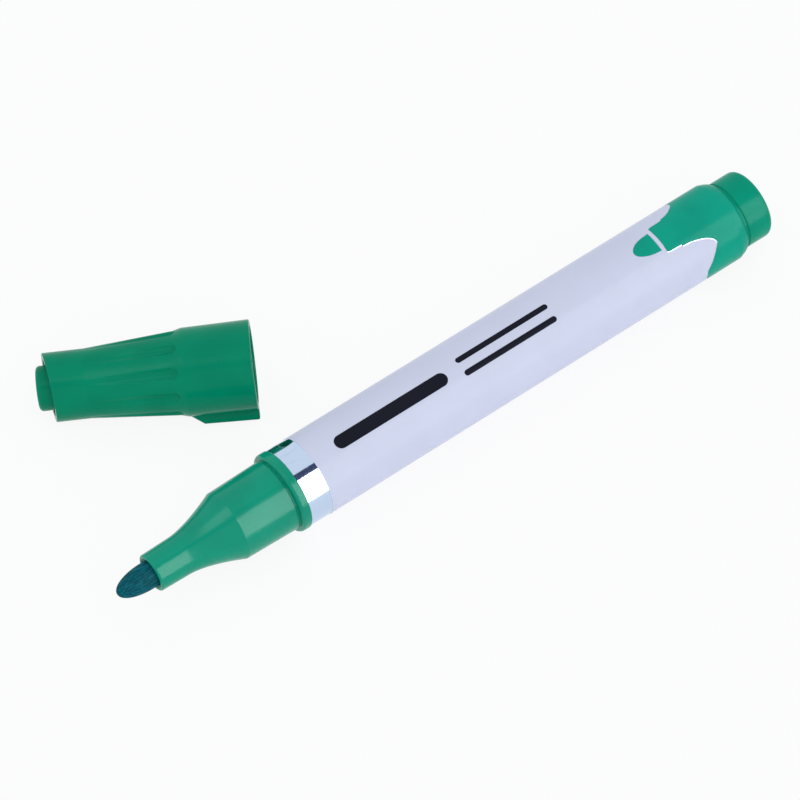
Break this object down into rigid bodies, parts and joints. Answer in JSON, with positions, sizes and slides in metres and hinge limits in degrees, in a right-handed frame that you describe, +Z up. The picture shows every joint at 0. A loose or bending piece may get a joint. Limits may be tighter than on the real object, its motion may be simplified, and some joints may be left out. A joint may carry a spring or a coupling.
{
  "type": "whiteboard marker",
  "caption": "Whiteboard marker with a bullet nib, lying beside its fluted cap, which has been taken off; the rear plug pulls out.",
  "frame": {"origin": "on the barrel's axis, at the middle of the barrel's length", "axes": "+X along the barrel towards the nib, +Z up from the surface it lies on"},
  "size_m": [0.1384, 0.0563, 0.0167],
  "materials": {
    "green_plastic": "glossy moulded polypropylene",
    "cap_plastic": "glossy moulded polypropylene, a deeper green",
    "silver_film": "mirror transfer film",
    "white_ink": "glossy white ink with a cool tint",
    "green_ink": "glossy green ink",
    "nib_fibre": "pressed fibre, wet with ink",
    "reservoir_fibre": "bonded fibre, soaked with ink",
    "clear_film": "thin translucent film"
  },
  "bodies": {
    "marker": {"nib": "nib_fibre", "nose_section": "green_plastic", "barrel_tube": "green_plastic", "foil_film": "silver_film", "white_print": "white_ink", "green_print": "green_ink", "reservoir_core": "reservoir_fibre", "reservoir_wrap": "clear_film"},
    "plug": {"end_plug": "green_plastic"},
    "cap": {"cap_shell": "cap_plastic", "cap_inner_cup": "cap_plastic"}
  },
  "joints": [
    {"name": "plug_pull", "type": "slide", "parent": "marker", "child": "plug", "axis": [-1, 0, 0], "range_m": [0, 0.025]},
    {"name": "cap_lift", "type": "slide", "parent": "marker", "child": "cap", "axis": [0, 0, 1], "range_m": [0, 0.06]}
  ]
}
